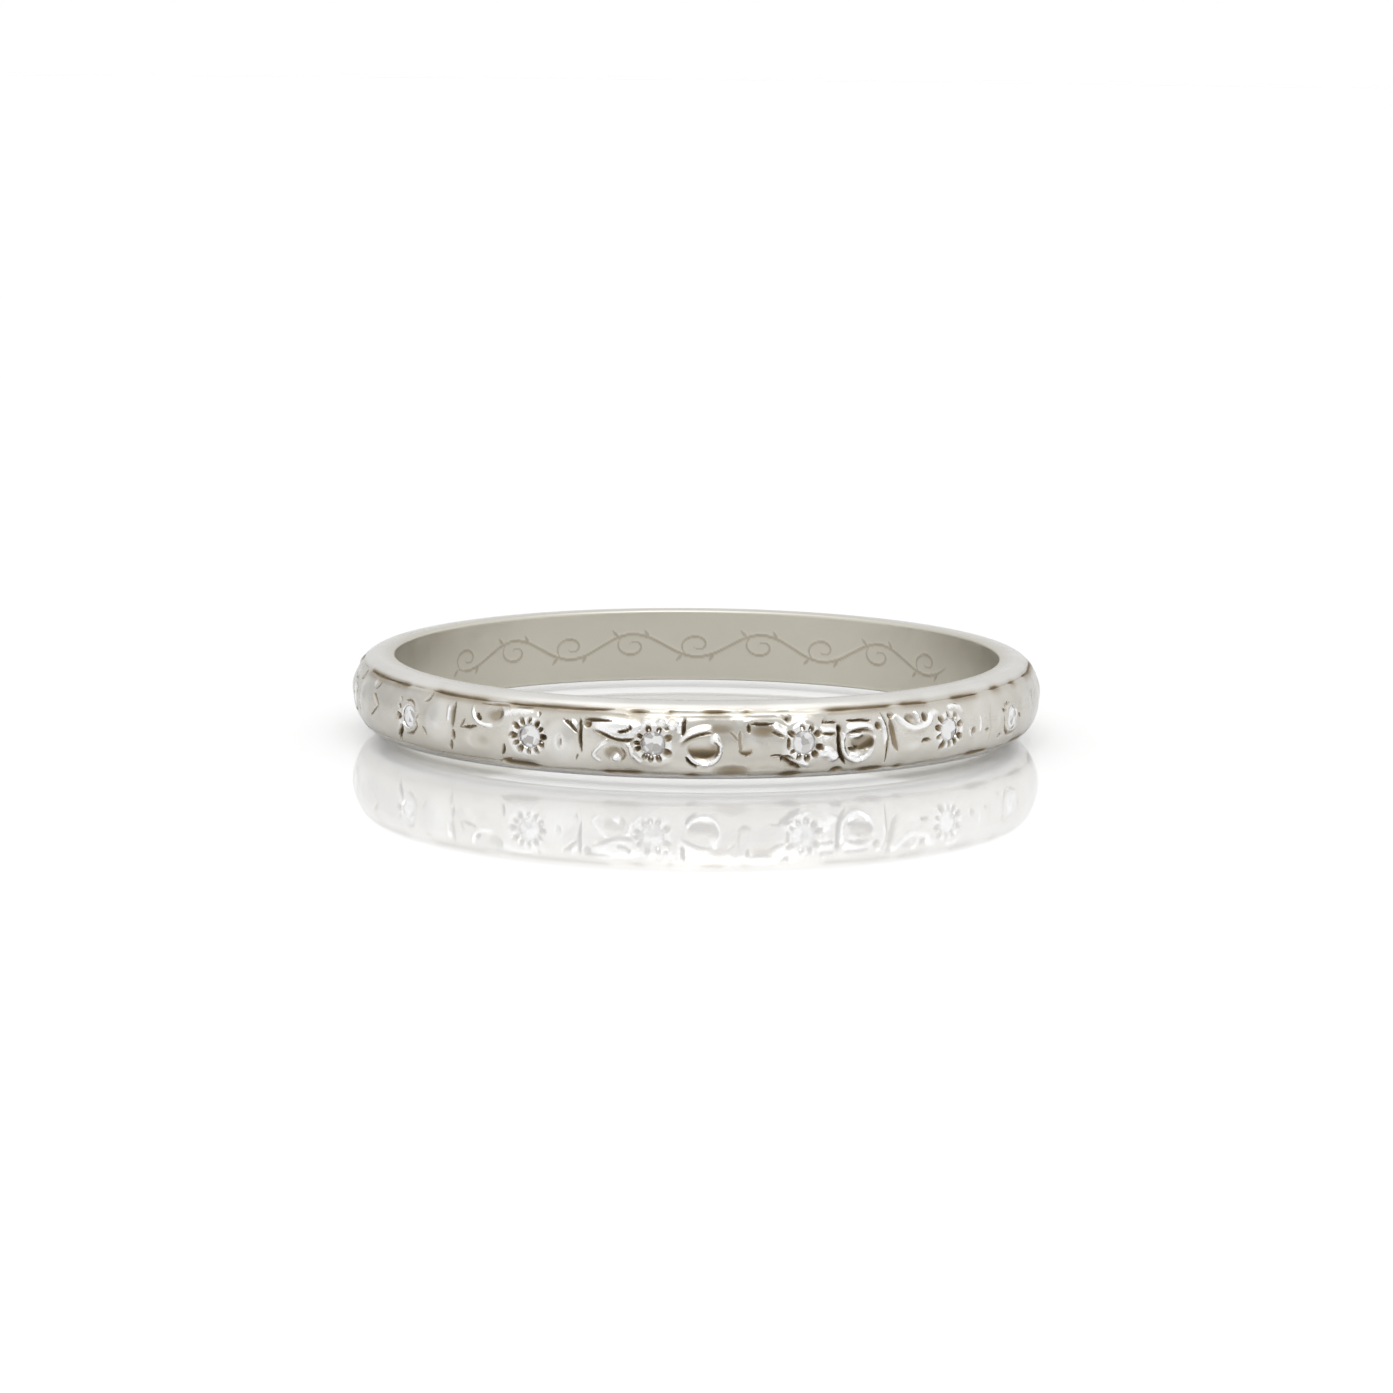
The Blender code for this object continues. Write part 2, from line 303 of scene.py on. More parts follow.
def spike_panel(r):
    """A broken divider, a spike, a scooped leaf with a raised rim, and a petal past the stone."""
    r.cut([(-2.62, 0.66), (-2.60, 0.30), (-2.60, 0.0)], 0.12, 0.09, grime_and_shade=1.1)
    r.ridge([(-2.80, 0.58), (-2.74, 0.36), (-2.72, 0.12)], 0.18, 0.035)
    r.cut([(-2.58, -0.07), (-2.59, -0.34)], 0.13, 0.10, grime_and_shade=1.2)
    r.cut([(-2.66, -0.38), (-2.82, -0.66)], 0.11, 0.09)
    r.cut([(-2.30, 0.03), (-2.0, 0.08), (-1.68, 0.14)], 0.11, 0.08, lean=0.5, ends=0.5)
    r.cut([(-2.16, 0.30), (-2.30, 0.04)], 0.07, 0.05)
    r.cut([(-1.76, 0.47), (-1.68, 0.38), (-1.57, 0.31)], 0.10, 0.10)
    r.hollow((-1.14, 0.46), (0.34, 0.28), 0.07)
    r.hollow((-1.02, 0.54), (0.16, 0.18), 0.03, grime_and_shade=0.6)
    r.ridge([(-1.93, 0.66), (-1.84, 0.40), (-1.58, 0.21), (-1.15, 0.17)], 0.13, 0.05)
    r.hollow((-1.57, -0.25), (0.42, 0.28), 0.035)
    r.swell((-1.9, -0.3), (0.7, 0.5), 0.02)
    r.cut([(-0.79, -0.28), (-0.84, -0.45), (-0.92, -0.60)], 0.09, 0.11)
    r.cut([(-0.62, -0.68), (-0.80, -0.73), (-1.07, -0.81)], 0.07, 0.06)
    r.cut([(0.22, 0.68), (0.29, 0.56)], 0.07, 0.06)
    r.cut([(-1.74, 0.71), (-0.8, 0.74), (0.15, 0.73)], 0.06, 0.025)
    r.ridge([(-0.86, 0.52), (-0.45, 0.63), (0.05, 0.64)], 0.20, 0.045)
    r.swell((0.90, -0.06), (0.52, 0.66), 0.045)
    r.hollow((0.94, -0.06), (0.08, 0.20), 0.05)
    r.cut([(0.98, 0.54), (1.20, 0.42), (1.44, 0.19)], 0.09, 0.09)
    r.swell((1.30, 0.44), (0.17, 0.08), 0.06, turn=-50)


def spike_collar(r):
    """Notches all the way round."""
    for turn, length, width, stain in (
        (2, 0.18, 0.13, 2.6), (-20, 0.13, 0.09, 2.4), (31, 0.14, 0.10, 1.4), (55, 0.15, 0.11, 2.2),
        (88, 0.14, 0.09, 1.3), (120, 0.20, 0.11, 1.3), (147, 0.26, 0.12, 1.4), (180, 0.28, 0.14, 1.3),
        (206, 0.18, 0.10, 0.9), (232, 0.18, 0.13, 1.2), (268, 0.12, 0.10, 0.9), (302, 0.16, 0.10, 1.1),
        (330, 0.16, 0.10, 1.5),
    ):
        radial_cut(r, turn, length, width, stain)


def leaf_panel(r):
    """A long raised leaf above, a bud below, and a raised horseshoe past the stone."""
    r.cut([(-2.01, 0.60), (-1.99, 0.10), (-1.96, -0.30)], 0.09, 0.10, grime_and_shade=1.3)
    r.cut([(-2.07, -0.38), (-2.16, -0.56)], 0.06, 0.04)
    r.cut([(-1.91, 0.58), (-1.5, 0.57), (-1.12, 0.54)], 0.09, 0.08, grime_and_shade=1.6)
    r.hollow((-1.80, 0.46), (0.13, 0.13), 0.08, grime_and_shade=1.3)
    r.swell((-0.95, 0.44), (0.80, 0.26), 0.08, turn=-4)
    r.lip([(-1.62, 0.38), (-1.3, 0.27), (-0.96, 0.15), (-0.6, 0.16), (-0.36, 0.28)], 0.26, 0.09, grime_and_shade=1.6)
    r.cut([(-0.97, 0.28), (-0.72, 0.32), (-0.55, 0.46)], 0.08, 0.10, grime_and_shade=1.7)
    r.swell((-0.18, 0.50), (0.16, 0.13), 0.08)
    r.swell((0.20, 0.55), (0.14, 0.12), 0.08)
    r.swell((0.50, 0.50), (0.14, 0.15), 0.08)
    r.hollow((0.02, 0.44), (0.09, 0.06), 0.08, grime_and_shade=1.5)
    r.hollow((0.34, 0.40), (0.10, 0.06), 0.08, grime_and_shade=1.5)
    r.hollow((-0.32, 0.36), (0.09, 0.05), 0.06, grime_and_shade=1.3)
    r.hollow((-1.07, -0.30), (0.34, 0.26), 0.07)
    r.ridge([(-1.22, 0.06), (-1.44, -0.13), (-1.62, -0.36), (-1.42, -0.54)], 0.14, 0.07)
    r.swell((-1.02, -0.42), (0.17, 0.14), 0.09)
    r.ridge([(-0.78, 0.06), (-0.62, -0.10), (-0.52, -0.34), (-0.30, -0.50)], 0.13, 0.06)
    r.cut([(-0.86, -0.14), (-0.76, -0.34), (-0.88, -0.54)], 0.07, 0.06, grime_and_shade=0.7)
    r.swell((0.72, 0.46), (0.14, 0.20), 0.09)
    r.cut([(0.86, 0.68), (0.82, 0.48), (0.80, 0.22)], 0.09, 0.10, grime_and_shade=1.3)
    r.lip([(0.70, 0.06), (1.0, 0.25), (1.30, 0.35), (1.62, 0.38)], 0.17, 0.09, grime_and_shade=1.5)
    r.scoop((1.34, -0.08), (0.46, 0.36), 0.07, 1.7)
    horseshoe = [(0.94, -0.26), (1.10, -0.45), (1.42, -0.53), (1.70, -0.40), (1.80, -0.08), (1.66, 0.18)]
    r.ridge(horseshoe, 0.17, 0.09)
    r.swell((1.66, 0.14), (0.16, 0.18), 0.06)
    r.cut([(0.88, -0.34), (1.0, -0.52), (1.18, -0.64)], 0.09, 0.10, grime_and_shade=1.7)
    r.stain((1.80, 0.42), (0.42, 0.16), 0.8)
    r.cut([(2.02, 0.36), (2.16, 0.24), (2.26, 0.10)], 0.09, 0.04, grime_and_shade=0.8)
    r.hollow((2.12, -0.76), (0.60, 0.20), 0.02)
    r.stain((2.12, -0.76), (0.64, 0.22), 0.9)


def leaf_collar(r):
    """Notches, with gaps on the left and right."""
    for turn, length, width, stain in (
        (22, 0.20, 0.15, 1.3), (66, 0.12, 0.10, 1.6), (108, 0.14, 0.12, 1.6), (150, 0.12, 0.10, 1.3),
        (178, 0.16, 0.09, 1.5), (199, 0.15, 0.10, 1.8), (238, 0.14, 0.11, 0.9), (262, 0.14, 0.12, 1.3),
        (292, 0.16, 0.12, 1.2), (330, 0.22, 0.15, 1.3),
    ):
        radial_cut(r, turn, length, width, stain)


def oval_panel(r):
    """A hooked cut and a stained leaf, a long slash below, and a raised oval past the stone."""
    r.swell((-1.80, 0.62), (0.26, 0.28), 0.02)
    r.cut([(-1.76, 0.38), (-1.77, 0.05), (-1.73, -0.20)], 0.13, 0.05, grime_and_shade=0.7)
    r.scoop((-1.60, -0.18), (0.20, 0.16), 0.06, 1.5)
    r.ridge([(-1.66, 0.60), (-1.46, 0.22), (-1.22, -0.14), (-1.00, -0.62)], 0.50, 0.02, ends=0.5)
    r.cut([(-1.49, 0.54), (-1.2, 0.53), (-0.85, 0.53)], 0.08, 0.08, grime_and_shade=1.5)
    r.stain((-1.12, 0.34), (0.46, 0.20), 1.0)
    r.cut([(-1.53, 0.54), (-1.52, 0.28)], 0.09, 0.09, grime_and_shade=1.2)
    r.hollow((-1.10, 0.37), (0.38, 0.17), 0.02, grime_and_shade=1.0)
    r.lip([(-0.90, 0.42), (-0.66, 0.30), (-0.50, 0.22)], 0.20, 0.08)
    r.hollow((-0.45, 0.64), (0.13, 0.08), 0.07, grime_and_shade=1.1)
    r.cut([(0.05, 0.52), (0.28, 0.44)], 0.08, 0.06)
    r.swell((0.60, -0.28), (0.28, 0.20), 0.09)
    r.swell((0.84, -0.42), (0.22, 0.17), 0.08)
    r.swell((0.62, 0.14), (0.20, 0.14), 0.05)
    r.cut([(0.42, 0.53), (0.7, 0.52), (0.96, 0.51)], 0.07, 0.07, grime_and_shade=1.6)
    r.lip([(0.42, 0.28), (0.68, 0.28), (0.92, 0.26)], 0.18, 0.08, grime_and_shade=1.5)
    r.cut([(-0.70, -0.32), (-0.40, -0.55), (-0.06, -0.72)], 0.14, 0.13, grime_and_shade=1.6)
    r.cut([(-0.95, -0.35), (-0.64, -0.32)], 0.07, 0.06)
    r.cut([(-0.58, -0.33), (-0.18, -0.44)], 0.09, 0.08, grime_and_shade=1.3)
    r.swell((-0.05, -0.52), (0.30, 0.10), 0.05, turn=-30)
    r.hollow((1.00, 0.34), (0.09, 0.15), 0.09, grime_and_shade=1.3)
    r.cut([(1.02, 0.42), (0.97, 0.08), (1.02, -0.32), (1.26, -0.70)], 0.09, 0.12, grime_and_shade=1.8)
    r.hollow((1.58, -0.08), (0.44, 0.36), 0.06)
    rim = [(1.14, 0.22), (1.08, -0.12), (1.24, -0.44), (1.60, -0.56), (1.94, -0.36), (2.06, 0.10)]
    r.ridge(rim, 0.16, 0.09)
    r.swell((1.52, 0.12), (0.26, 0.12), 0.07)
    r.scoop((1.72, -0.06), (0.34, 0.26), 0.08, 1.7, deep=-50)
    r.cut([(1.26, -0.22), (1.44, -0.27), (1.62, -0.22)], 0.09, 0.07, grime_and_shade=1.5)
    r.swell((1.46, -0.42), (0.26, 0.12), 0.07)
    r.hollow((1.02, -0.82), (0.22, 0.11), 0.06, grime_and_shade=1.7)
    r.cut([(1.20, 0.52), (1.6, 0.52), (2.02, 0.48)], 0.07, 0.07, grime_and_shade=1.6)
    r.lip([(1.16, 0.22), (1.42, 0.31), (1.74, 0.33), (2.04, 0.26)], 0.18, 0.09, grime_and_shade=1.3)
    r.hollow((2.22, 0.34), (0.15, 0.14), 0.08, grime_and_shade=1.3)
    r.ridge([(2.30, 0.56), (2.40, 0.25), (2.44, -0.1)], 0.12, 0.05)


def oval_collar(r):
    """Wide notches, and a short cut on the left."""
    for turn, length, width, stain in (
        (-17, 0.20, 0.14, 1.9), (32, 0.18, 0.15, 1.5), (62, 0.14, 0.11, 1.3), (98, 0.12, 0.10, 1.0),
        (145, 0.20, 0.13, 1.3), (215, 0.12, 0.09, 1.0), (248, 0.13, 0.10, 1.3), (281, 0.16, 0.13, 1.7),
        (313, 0.18, 0.14, 1.8),
    ):
        radial_cut(r, turn, length, width, stain)
    r.cut([(-0.46, 0.16), (-0.44, 0.0), (-0.46, -0.18)], 0.11, 0.09, grime_and_shade=1.2)


def fan_panel(r):
    """A doubled divider, a fan of raised lines above, and small tool marks past the stone."""
    r.cut([(-2.36, 0.66), (-2.25, 0.33), (-2.20, -0.05), (-2.18, -0.70)], 0.09, 0.06, grime_and_shade=1.1)
    r.cut([(-2.10, 0.50), (-2.05, 0.15), (-1.96, -0.18), (-1.84, -0.40)], 0.22, 0.06, grime_and_shade=1.0)
    r.ridge([(-2.44, 0.55), (-2.34, 0.2), (-2.30, -0.2)], 0.12, 0.04)
    r.hollow((-2.06, 0.57), (0.12, 0.10), 0.07, grime_and_shade=1)
    swag = [
        (-1.90, 0.58), (-1.70, 0.38), (-1.36, 0.19), (-1.02, 0.21),
        (-0.78, 0.30), (-0.62, 0.50), (-0.36, 0.56),
    ]
    r.ridge(swag, 0.24, 0.06)
    r.hollow((-1.45, 0.46), (0.20, 0.16), 0.05)
    r.ridge([(-1.22, 0.62), (-1.12, 0.28)], 0.18, 0.06)
    r.hollow((-0.90, 0.44), (0.11, 0.14), 0.11, grime_and_shade=1.3)
    r.cut([(-1.06, -0.22), (-0.90, -0.19), (-0.70, -0.21)], 0.11, 0.09)
    r.swell((-1.4, -0.28), (0.55, 0.45), 0.03)
    r.ridge([(-0.03, 0.56), (0.22, 0.62), (0.47, 0.55), (0.60, 0.38)], 0.15, 0.05)
    r.ridge([(0.80, 0.02), (0.86, -0.20), (1.00, -0.34)], 0.09, 0.035)
    r.ridge([(1.32, 0.26), (1.32, -0.24)], 0.14, 0.04)
    r.hollow((1.07, -0.14), (0.15, 0.15), 0.04)
    r.hollow((1.73, -0.20), (0.14, 0.06), 0.04, grime_and_shade=0.5)


def fan_collar(r):
    """Notches all the way round, the longest on the left."""
    for turn, length, width, stain in (
        (18, 0.18, 0.13, 1.2), (58, 0.16, 0.11, 1.0), (98, 0.12, 0.09, 0.8), (137, 0.20, 0.13, 1.3),
        (168, 0.22, 0.14, 1.3), (200, 0.18, 0.11, 1.1), (236, 0.24, 0.14, 1.7), (272, 0.12, 0.10, 0.9),
        (303, 0.16, 0.11, 1.3), (333, 0.20, 0.13, 1.4),
    ):
        radial_cut(r, turn, length, width, stain)


def horseshoe_panel(r):
    """Worn nearly smooth: faint cuts and low petals."""
    r.cut([(-1.28, 0.55), (-1.34, 0.2), (-1.30, -0.2), (-1.38, -0.6)], 0.08, 0.015, grime_and_shade=0.2)
    r.cut([(-0.66, 0.30), (-0.40, 0.27)], 0.09, 0.06)
    r.cut([(-0.33, 0.44), (-0.08, 0.38)], 0.09, 0.06)
    r.hollow((-0.72, -0.40), (0.14, 0.07), 0.05, grime_and_shade=0.7)
    r.swell((-0.9, 0.1), (0.4, 0.5), 0.02)
    r.swell((1.2, 0.0), (0.7, 0.66), 0.04)
    r.cut([(1.9, 0.5), (1.75, 0.1), (1.9, -0.4)], 0.08, 0.06)


def horseshoe_collar(r):
    """A crescent below the stone, and a faint arc above."""
    r.cut([(-0.56, 0.10), (-0.50, -0.18), (-0.24, -0.40), (0.14, -0.42), (0.46, -0.32)], 0.10, 0.08)
    r.cut([(0.38, 0.06), (0.60, -0.02)], 0.10, 0.08)
    r.cut([(-0.56, 0.34), (-0.38, 0.42), (-0.12, 0.45)], 0.10, 0.04, grime_and_shade=0.5)


# Each design's panel, its collar, and how proud the collar stands.
DESIGNS = (
    (chevron_panel, chevron_collar, 0.3),
    (spike_panel, spike_collar, 1.0),
    (leaf_panel, leaf_collar, 1.0),
    (oval_panel, oval_collar, 1.0),
    (fan_panel, fan_collar, 0.9),
    (horseshoe_panel, horseshoe_collar, 0.3),
)
# Which design each stone's panel takes: the front six in order, then a mix of them round the back.
PANEL_DESIGNS = (0, 1, 2, 3, 4, 5, 5, 1, 4, 3, 2, 1, 4, 0)

# Where the line along each edge was cut, in degrees from the front; it was worn or missed between.
UPPER_LINE = (
    (-75, -56), (-50, -36), (-33, -13.5), (-11.5, -7.5), (-5.5, -3), (0.5, 5.6), (7, 9.5),
    (21, 34.5), (35, 42), (46.5, 55), (58.5, 63), (66, 70), (74, 92),
)
LOWER_LINE = (
    (-34, -26), (-16, -8.3), (-2.3, 1.2), (13, 18), (22.3, 24.8), (27, 33),
    (34, 37), (51, 58.5), (66, 74), (80, 90),
)


def radial_cut(r, turn, length, width, stain):
    """A notch that points at the stone, in the collar round it."""
    middle = MOUTH + NOTCH_START + length / 2
    centre = (middle * math.cos(math.radians(turn)), middle * math.sin(math.radians(turn)))
    r.hollow(centre, (length / 2 + 0.05, width * 0.8), NOTCH_DEPTH, turn=turn, grime_and_shade=stain)


def stone_places():
    """Each stone's angle from the front, in radians, and its height in mm."""
    places = []
    for node in STONES:
        low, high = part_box(node)
        middle = [(a + b) / 2 for a, b in zip(low, high)]
        places.append((math.atan2(middle[0], -middle[1]), middle[2] / MM))
    return places


def dome(angle):
    """(radius, height) on the outer face, where angle is 0 on the crown and 90 degrees at an edge."""
    return SHOULDER + (CROWN - SHOULDER) * np.cos(angle), HALF_WIDTH * np.sin(angle)


def row_angles():
    """The dome angle of each row of the grid, from the upper edge to the lower."""
    field = np.arcsin(np.arange(FIELD_ROWS, -FIELD_ROWS - 1, -1) * STEP / HALF_WIDTH)
    edge = np.linspace(math.pi / 2, field[0], EDGE_ROWS, endpoint=False)
    return np.concatenate([edge, field, -edge[::-1]])


def bend_round(x, z, place):
    """Bends the grid's square rings round a stone into circles. Returns each point's ring and bearing."""
    centre = round(place[0] / (2 * math.pi) * COLUMNS)
    middle = EDGE_ROWS + FIELD_ROWS
    reach = np.arange(-BLOCK_RINGS, BLOCK_RINGS + 1)
    columns = (centre + reach) % COLUMNS
    rows = middle - reach
    across, up = np.meshgrid(reach, reach)
    ring = np.maximum(np.abs(across), np.abs(up))
    flat = np.abs(across) >= np.abs(up)
    safe = np.where(ring == 0, 1, ring)
    sign = np.where(np.where(flat, across, up) < 0, -1, 1)
    slope = np.where(flat, up, -across) / (safe * sign)
    bearing = math.pi / 4 * slope + np.where(flat, 0, math.pi / 2) + np.where(sign < 0, math.pi, 0)
    weight = 1 - smooth_step(ROUND_RINGS, BLOCK_RINGS, ring)
    block = np.ix_(rows, columns)
    stone_x = place[0] * MM_PER_RADIAN
    square_x = (x[block] - stone_x + AROUND / 2) % AROUND - AROUND / 2
    radius = ring * MOUTH / MOUTH_RINGS
    x[block] = stone_x + square_x * (1 - weight) + radius * np.cos(bearing) * weight
    z[block] = z[block] * (1 - weight) + (place[1] + radius * np.sin(bearing)) * weight
    return block, ring, bearing


def line_shape(degrees, dashes):
    """How deeply a border line is cut at each angle: 1 within a dash, fading out at its ends."""
    shape = np.zeros_like(degrees)
    for turned in (0, 180):
        for start, end in dashes:
            middle, half = (start + end) / 2 + turned, (end - start) / 2
            away = np.abs((degrees - middle + 180) % 360 - 180)
            shape = np.maximum(shape, smooth_step(-0.4, 2.0, half - away))
    return shape


def cut_border_lines(relief, turn):
    """The line along each edge: deep and dark in its dashes, faint between, and never quite straight."""
    degrees = np.degrees(turn)
    wobble = 0.012 * np.sin(5 * turn + 1) + 0.010 * np.sin(13 * turn) + 0.006 * np.sin(29 * turn + 2)
    low_line = 0.82 + 0.06 * np.cos(2 * (turn - math.radians(15)))
    for side, dashes, line, width in (
        (1, UPPER_LINE, LINE_HEIGHT, UPPER_LINE_WIDTH),
        (-1, LOWER_LINE, low_line, LOWER_LINE_WIDTH),
    ):
        gap = side * relief.z - line - wobble
        dash = line_shape(degrees, dashes)
        reach = width * (0.45 + 0.55 * dash) * (1 + 0.25 * np.sin(31 * turn + side))
        cut = 0.5 + 0.5 * np.cos(np.pi * np.clip(np.abs(gap) / reach, 0, 1))
        relief.depth += LINE_DEPTH * cut * (0.4 + 0.6 * dash)
        haze = 0.7 * np.exp(-(((gap + 0.04) / 0.10) ** 2)) * (0.25 + 0.75 * dash)
        relief.grime_and_shade = np.maximum(relief.grime_and_shade, np.maximum(cut * (0.45 + 1.35 * dash), haze))


def engrave(x, z, places):
    """The relief of the whole outer face."""
    relief = Relief(x.ravel(), z.ravel())
    turn = relief.round_x / MM_PER_RADIAN
    relief.depth += FIELD_DROP * (1 - smooth_step(0.70, 0.76, np.abs(relief.z)))
    cut_border_lines(relief, turn)
    for place, chosen in zip(places, PANEL_DESIGNS):
        relief.at(place[0] * MM_PER_RADIAN, place[1])
        panel, collar, pride = DESIGNS[chosen]
        panel(relief)
        clear_collar(relief, pride)
        collar(relief)
    relief.depth = np.clip(relief.depth, *RELIEF_LIMITS)
    relief.depth += hand_worn(turn, relief.z)
    return relief


def clear_collar(relief, pride):
    """Levels the metal round a stone, then raises the collar that holds it."""
    radius = np.hypot(relief.x, relief.local_z)
    weight = 1 - smooth_step(0.46, 0.60, radius)
    relief.depth *= 1 - weight
    relief.grime_and_shade *= 1 - weight
    relief.depth -= 0.035 * pride * np.clip(1 - ((radius - 0.42) / 0.10) ** 2, 0, 1)
    relief.depth -= 0.022 * pride * np.clip(1 - ((radius - 0.57) / 0.14) ** 2, 0, 1)


def hand_worn(turn, z):
    """Slow, slight unevenness, as a file and years of wear leave it."""
    waves = 0.006 * np.sin(17 * turn + 2.1 * z + 0.5) + 0.004 * np.sin(41 * turn - 4.0 * z)
    waves += 0.002 * np.sin(73 * turn + 6.0 * z + 1.3) * np.cos(3.0 * z)
    return waves * (1 - smooth_step(0.8, 1.0, np.abs(z)))


def seat_point(ring, bearing, place):
    """A point of a stone's seat. Rings count from the middle of its floor to the mouth."""
    wall = STONE_RADIUS + SEAT_GAP
    floor = -GIRDLE - (wall * math.tan(PAVILION_ANGLE))
    # Share of the rings, radius, and height over the girdle: the floor, the wall's foot and top, and
    # the lip that closes over the crown.
    outline = (
        (0.0, 0.0, floor),
        (0.45, wall, -GIRDLE - 0.03),
        (0.6, wall, 0.012),
        (0.85, MOUTH + 0.015, 0.074),
        (1.0, MOUTH, 0.095),
    )
    steps, radii, levels = zip(*outline)
    share = ring / MOUTH_RINGS
    radius = np.interp(share, steps, radii)
    level = GIRDLE_LEVEL + np.interp(share, steps, levels)
    across = radius * np.cos(bearing)
    turn = place[0]
    x = level * math.sin(turn) + across * math.cos(turn)
    y = -level * math.cos(turn) + across * math.sin(turn)
    return np.stack([x, y, place[1] + radius * np.sin(bearing)], -1)


def blurred(values, reach):
    """The mean over a square of the grid, taken twice so that it is smooth."""
    for _ in range(2):
        for axis in (0, 1):
            mode = "wrap" if axis else "edge"
            pad = [(0, 0), (0, 0)]
            pad[axis] = (reach + 1, reach)
            total = np.cumsum(np.pad(values, pad, mode=mode), axis=axis)
            size = values.shape[axis]
            ahead = np.take(total, np.arange(size) + 2 * reach + 1, axis=axis)
            behind = np.take(total, np.arange(size), axis=axis)
            values = (ahead - behind) / (2 * reach + 1)
    return values


def outer_face(places):
    """The outer face's points, rows by columns, with its grime and painted shade, and its polish and
    painted highlight.
    """
    turns = np.arange(COLUMNS) * 2 * math.pi / COLUMNS
    angles = row_angles()
    x, z = np.meshgrid(turns * MM_PER_RADIAN, HALF_WIDTH * np.sin(angles))
    blocks = [bend_round(x, z, place) for place in places]
    relief = engrave(x, z, places)
    depth = relief.depth.reshape(x.shape)
    sunk = depth - blurred(depth, WEAR_REACH)
    # Grime from the cuts, and darkening in every hollow that is partly patina and partly painted shade.
    grime_and_shade = np.maximum(relief.grime_and_shade.reshape(x.shape), PATINA_AND_SHADE * smooth_step(0.004, 0.045, sunk))
    # Both edges are rubbed bright by wear; the lower edge much more, as painted light lifting the shade it
    # faces.
    rubbed_edges_and_painted_light = np.where(z > 0, 0.35, 0.9) * smooth_step(0.85, 0.94, np.abs(z))
    # What stands proud is polished, and its whiter colour is also a painted highlight.
    polish_and_highlight = np.maximum(smooth_step(0.008, 0.04, -sunk), rubbed_edges_and_painted_light)
    polish_and_highlight = np.maximum(polish_and_highlight, relief.shine.reshape(x.shape))
    angle = np.arcsin(np.clip(z / HALF_WIDTH, -1, 1))
    fade = 1 - smooth_step(0.9, 1.0, np.abs(z) / HALF_WIDTH)
    depth = depth * fade
    radius, height = dome(angle)
    lean = np.arctan2((CROWN - SHOULDER) * np.sin(angle), HALF_WIDTH * np.cos(angle))
    radius = radius - depth * np.cos(lean)
    height = height - depth * np.sin(lean)
    turn = x / MM_PER_RADIAN
    points = np.stack([radius * np.sin(turn), -radius * np.cos(turn), height], -1)
    for place, (block, ring, bearing) in zip(places, blocks):
        inside = ring <= MOUTH_RINGS
        seat = points[block]
        seat[inside] = seat_point(ring[inside], bearing[inside], place)
        points[block] = seat
        # Each stone's seat and lip are painted at the full polish and highlight colour.
        bright = polish_and_highlight[block]
        bright[inside] = 1.0
        polish_and_highlight[block] = bright
    return points, grime_and_shade, polish_and_highlight


def bore_columns():
    """The grid columns that carry on into the bore: all of them where the scroll is, else one in four."""
    degrees = np.arange(COLUMNS) * 360 / COLUMNS
    low, high = SCROLL_SECTOR
    return [
        column
        for column, place in enumerate(degrees)
        if low <= place <= high or column % BORE_STRIDE == 0
    ]


def scroll(relief):
    """A running vine round the back of the bore: a waved stem, a curl in each bend, and small leaves."""
    low, high = (math.radians(angle - 180) * BORE for angle in SCROLL_SECTOR)
    relief.at(math.pi * BORE, 0.0)
    count = int((high - low) / SCROLL_PITCH)
    start = (low + high) / 2 - count * SCROLL_PITCH / 2
    stem = []
    for bend in range(count):
        up = 1 if bend % 2 else -1
        middle = start + (bend + 0.5) * SCROLL_PITCH
        for share in (-1, -0.5, 0, 0.5):
            height = SCROLL_WAVE * up * math.cos(math.pi / 2 * share)
            stem.append((middle + share * SCROLL_PITCH / 2, height))
        curl = []
        for step in range(15):
            turn = math.radians(50 - 26 * step)
            radius = 0.36 * (1 - step / 18)
            curl.append((middle + radius * 1.35 * math.cos(turn), radius * math.sin(turn) * up))
        relief.cut(curl, 0.11, 0.006, grime_and_shade=SCROLL_GRIME, ends=0.5)
        for foot, tip in (((0.42, 0.26), (0.60, 0.45)), ((-0.50, 0.22), (-0.36, 0.46))):
            leaf = [(middle + foot[0], foot[1] * up), (middle + tip[0], tip[1] * up)]
            relief.cut(leaf, 0.13, 0.007, grime_and_shade=SCROLL_GRIME, ends=0.5)
    relief.cut(stem, 0.11, 0.006, grime_and_shade=SCROLL_GRIME, ends=0.04)


def bore_face(columns):
    """The bore's points from the upper corner to the lower, with the scroll cut into it."""
    turns = np.array(columns) * 2 * math.pi / COLUMNS
    eased = np.linspace(0, math.pi / 2, EASING_POINTS)
    corner = [(BORE + EASING * (1 - math.sin(t)), HALF_WIDTH - EASING * (1 - math.cos(t))) for t in eased]
    wall = np.linspace(corner[-1][1], -corner[-1][1], BORE_ROWS)[1:-1]
    section = corner + [(BORE, height) for height in wall] + [(r, -h) for r, h in corner[::-1]]
    radii, heights = np.array(section).T
    turn, height = np.meshgrid(turns, heights)
    radius = np.repeat(radii[:, None], len(turns), 1)
    relief = Relief(turn.ravel() * BORE, height.ravel())
    scroll(relief)
    radius = radius + relief.depth.reshape(turn.shape)
    points = np.stack([radius * np.sin(turn), -radius * np.cos(turn), height], -1)
    return points, relief.grime_and_shade.reshape(turn.shape)


def grid_faces(index):
    """Quads between the rows and round the columns of an index grid, facing out."""
    right = np.roll(index, -1, axis=1)
    quads = np.stack([index[:-1], index[1:], right[1:], right[:-1]], -1)
    return quads.reshape(-1, 4).tolist()


